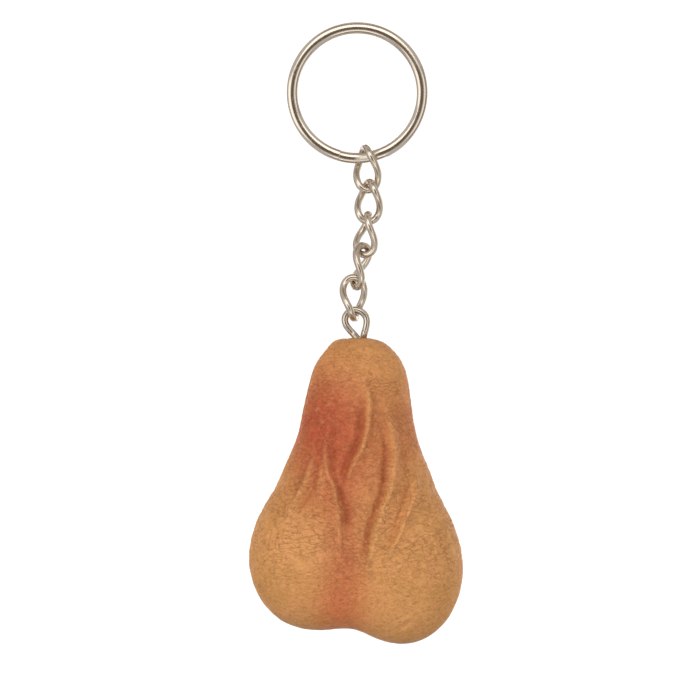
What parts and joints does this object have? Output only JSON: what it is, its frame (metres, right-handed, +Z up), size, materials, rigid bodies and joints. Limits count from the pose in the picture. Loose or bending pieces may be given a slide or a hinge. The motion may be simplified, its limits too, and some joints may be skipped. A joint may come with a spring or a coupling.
{
  "type": "keychain",
  "caption": "Split key ring with a short twisted-link chain and a bent wire eye moulded into a pear-shaped two-lobed soft rubber fob.",
  "frame": {"origin": "centre of the split ring, half way between its two coils", "axes": "+Z up, with the chain and fob hanging straight down toward -Z; the front of the fob faces -Y; the ring's axis is along Y"},
  "size_m": [0.038, 0.0226, 0.1103],
  "materials": {
    "nickel": "bright nickel plate on steel wire",
    "soft_rubber": "matt ochre soft rubber with airbrushed red and brown shading"
  },
  "bodies": {
    "key_ring": {"split_ring": "nickel"},
    "link_1": {"chain_link_1": "nickel"},
    "link_2": {"chain_link_2": "nickel"},
    "link_3": {"chain_link_3": "nickel"},
    "link_4": {"chain_link_4": "nickel"},
    "link_5": {"chain_link_5": "nickel"},
    "fob": {"eye_pin": "nickel", "rubber_fob": "soft_rubber"}
  },
  "joints": [
    {"name": "link_1_swing", "type": "hinge", "parent": "key_ring", "child": "link_1", "pos_m": [0.00091, -0.00029, -0.01156], "axis": [0.9137, 0.3879, 0.121], "range_deg": [-100, 100]},
    {"name": "link_2_swing", "type": "hinge", "parent": "link_1", "child": "link_2", "pos_m": [0.00202, 0.00062, -0.01581], "axis": [-0.0349, 0.998, -0.0523], "range_deg": [-60, 60]},
    {"name": "link_3_swing", "type": "hinge", "parent": "link_2", "child": "link_3", "pos_m": [0.00256, -0.00017, -0.02307], "axis": [-0.9799, 0.0685, 0.1874], "range_deg": [-90, 90]},
    {"name": "link_4_swing", "type": "hinge", "parent": "link_3", "child": "link_4", "pos_m": [0.0012, -0.00038, -0.02682], "axis": [-0.3826, -0.9012, 0.2036], "range_deg": [-90, 90]},
    {"name": "link_5_swing", "type": "hinge", "parent": "link_4", "child": "link_5", "pos_m": [0.00031, 0.00019, -0.0329], "axis": [0.9002, 0.2752, -0.3374], "range_deg": [-90, 90]},
    {"name": "fob_swing", "type": "hinge", "parent": "link_5", "child": "fob", "pos_m": [-0.00056, 0.00045, -0.04012], "axis": [0.0696, 0.9951, -0.0696], "range_deg": [-90, 90]}
  ]
}
